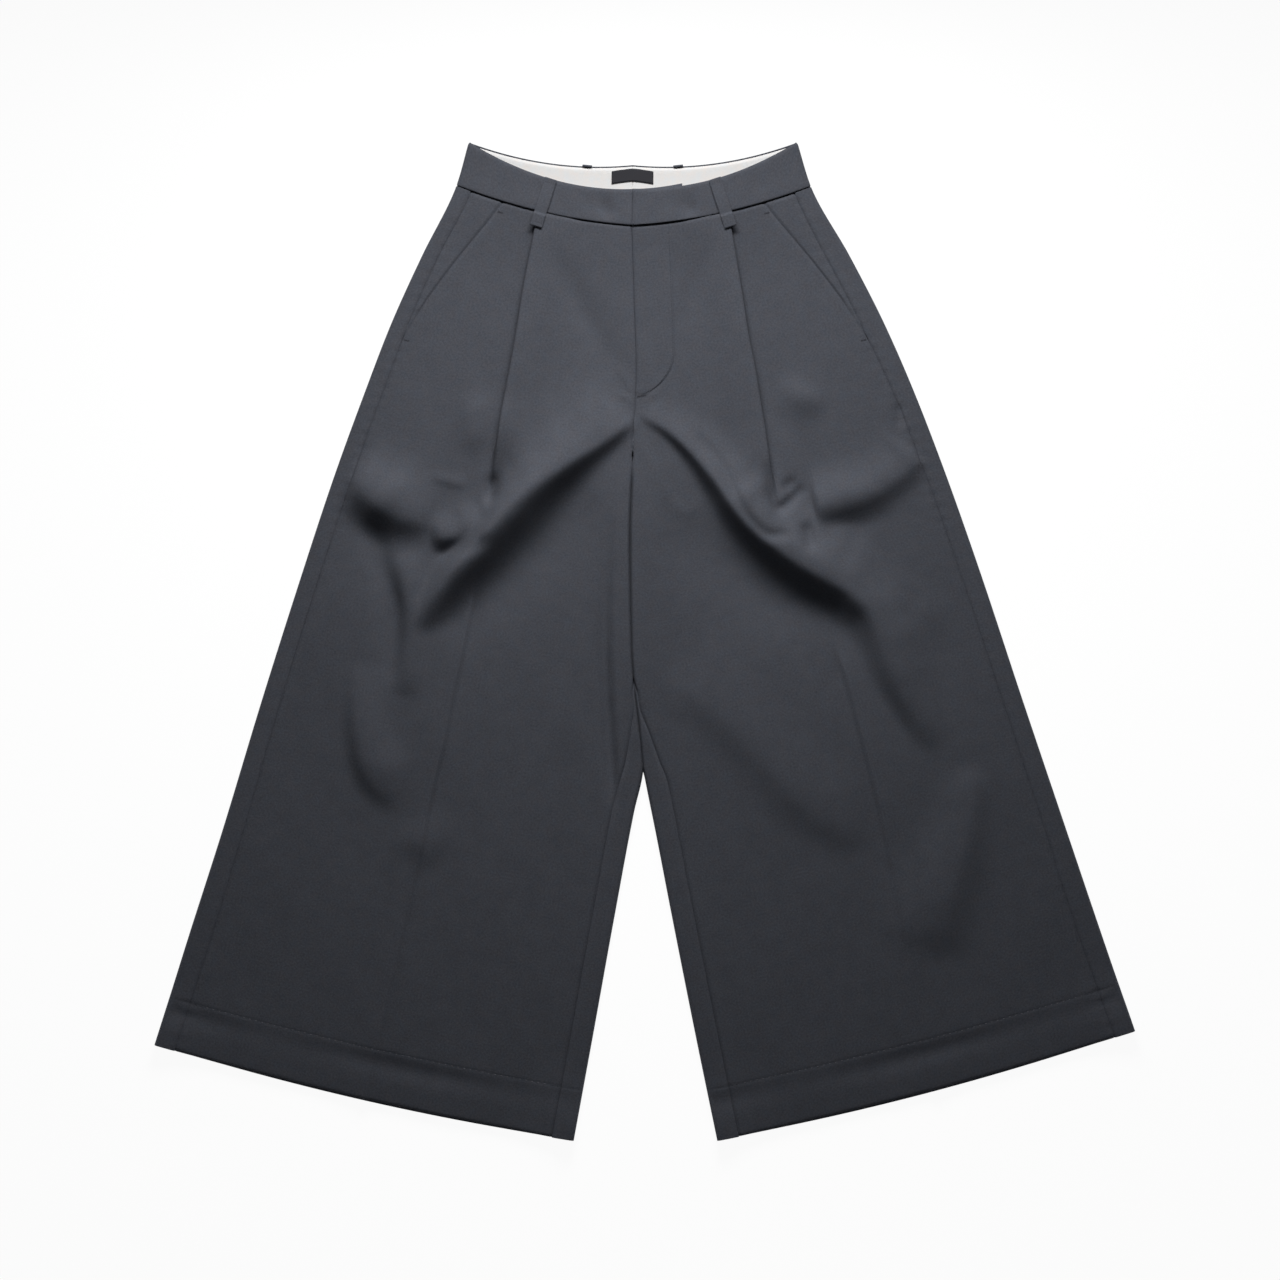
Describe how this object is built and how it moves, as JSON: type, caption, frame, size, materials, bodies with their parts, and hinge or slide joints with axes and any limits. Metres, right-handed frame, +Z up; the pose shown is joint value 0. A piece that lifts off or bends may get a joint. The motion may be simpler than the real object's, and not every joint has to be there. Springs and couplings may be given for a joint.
{
  "type": "pleated trousers laid flat",
  "caption": "High-waisted wide-leg trousers lying flat, with front pleats, slant pockets, a fly front, belt loops and turned-up hems.",
  "frame": {"origin": "on the surface that the trousers lie on, under the middle of their outline", "axes": "+X towards the wearer's left side, +Y from the hems to the waist, +Z up out of the front"},
  "size_m": [1.0275, 1.0464, 0.032],
  "materials": {
    "twill": "soft matt charcoal twill",
    "lining": "plain white cotton",
    "label": "woven satin, plain"
  },
  "bodies": {
    "root": {"front_right": "twill", "front_left": "twill", "back_right": "twill", "back_left": "twill", "pocket_side_right": "twill", "pocket_side_left": "twill", "waistband_right": "twill", "waistband_left": "twill", "waistband_lining_right": "lining", "waistband_lining_left": "lining", "label": "label", "belt_loop_front_right": "twill", "belt_loop_front_left": "twill", "belt_loop_back_right": "twill", "belt_loop_back_left": "twill"}
  },
  "joints": []
}
